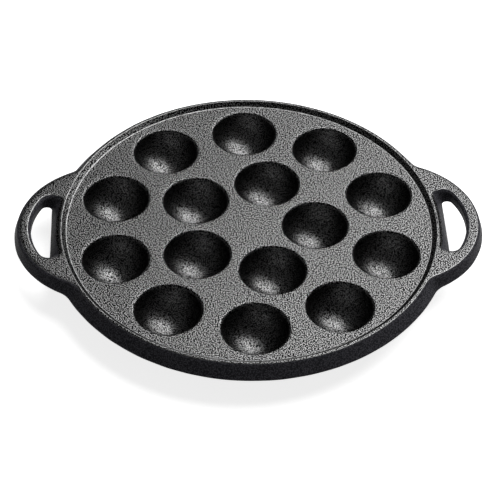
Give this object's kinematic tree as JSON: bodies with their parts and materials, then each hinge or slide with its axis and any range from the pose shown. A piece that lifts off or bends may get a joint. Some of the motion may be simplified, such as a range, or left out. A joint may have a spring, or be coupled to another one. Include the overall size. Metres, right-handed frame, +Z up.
{
  "type": "escargot pan",
  "caption": "Round cast iron escargot pan: a thin plate with two rings of half-ball snail wells, a low rim with a flared side wall, and two loop handles with D-shaped holes.",
  "frame": {"origin": "under the middle of the pan, on the surface that its well bottoms stand on", "axes": "+X along the line through both handles, towards the handle next to the inner ring's well that lies on that line; +Y away from the viewer; +Z up out of the wells"},
  "size_m": [0.2812, 0.2402, 0.0252],
  "materials": {
    "cast_iron": "black sand-cast iron, matt, with a fine pebbled grain on the plate, rim and handles"
  },
  "bodies": {
    "root": {"pan_casting": "cast_iron"}
  },
  "joints": []
}
